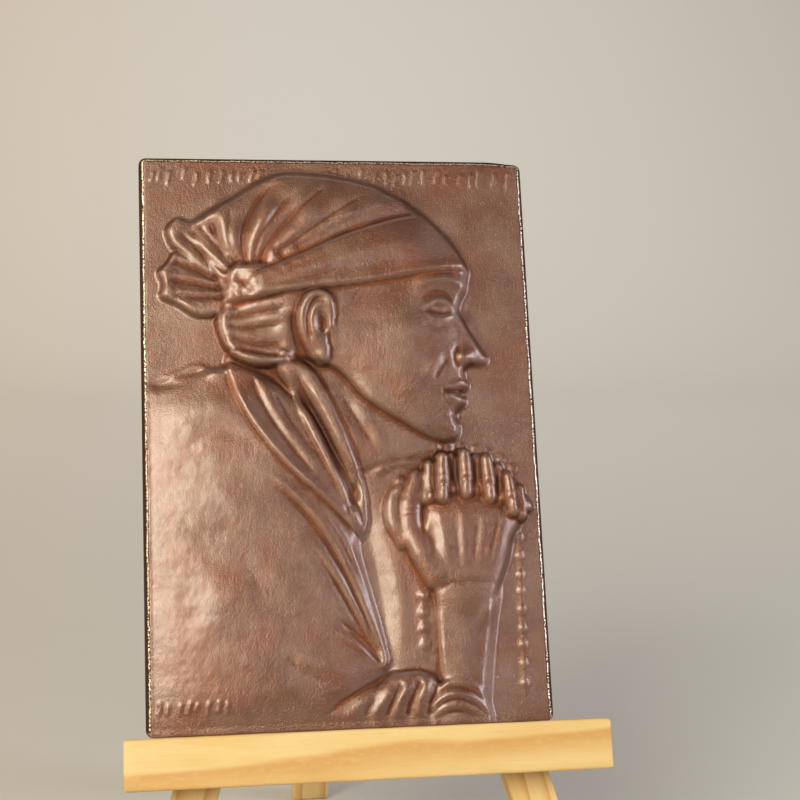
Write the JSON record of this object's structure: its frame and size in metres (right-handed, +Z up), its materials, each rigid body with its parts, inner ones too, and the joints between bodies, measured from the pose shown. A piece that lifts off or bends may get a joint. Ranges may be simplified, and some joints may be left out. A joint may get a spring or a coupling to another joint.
{
  "type": "relief plaque on easel",
  "caption": "Small rectangular bronze plaque with a figure in low relief, leaning on a little wooden tripod easel with a ledge.",
  "frame": {"origin": "on the surface the easel stands on, under the middle of the whole", "axes": "+Z up, the relief and the ledge face -Y, +X to the viewer's right"},
  "size_m": [0.0732, 0.0878, 0.1211],
  "materials": {
    "bronze": "brown patinated cast bronze, satin, darker in the recesses and rubbed brighter on the high places",
    "pine": "planed pale pine with a warm grain stripe, unvarnished to lightly sealed"
  },
  "bodies": {
    "root": {"plaque": "bronze", "ledge": "pine", "left_front_leg": "pine", "right_front_leg": "pine", "top_crosspiece": "pine", "rear_leg": "pine"}
  },
  "joints": []
}
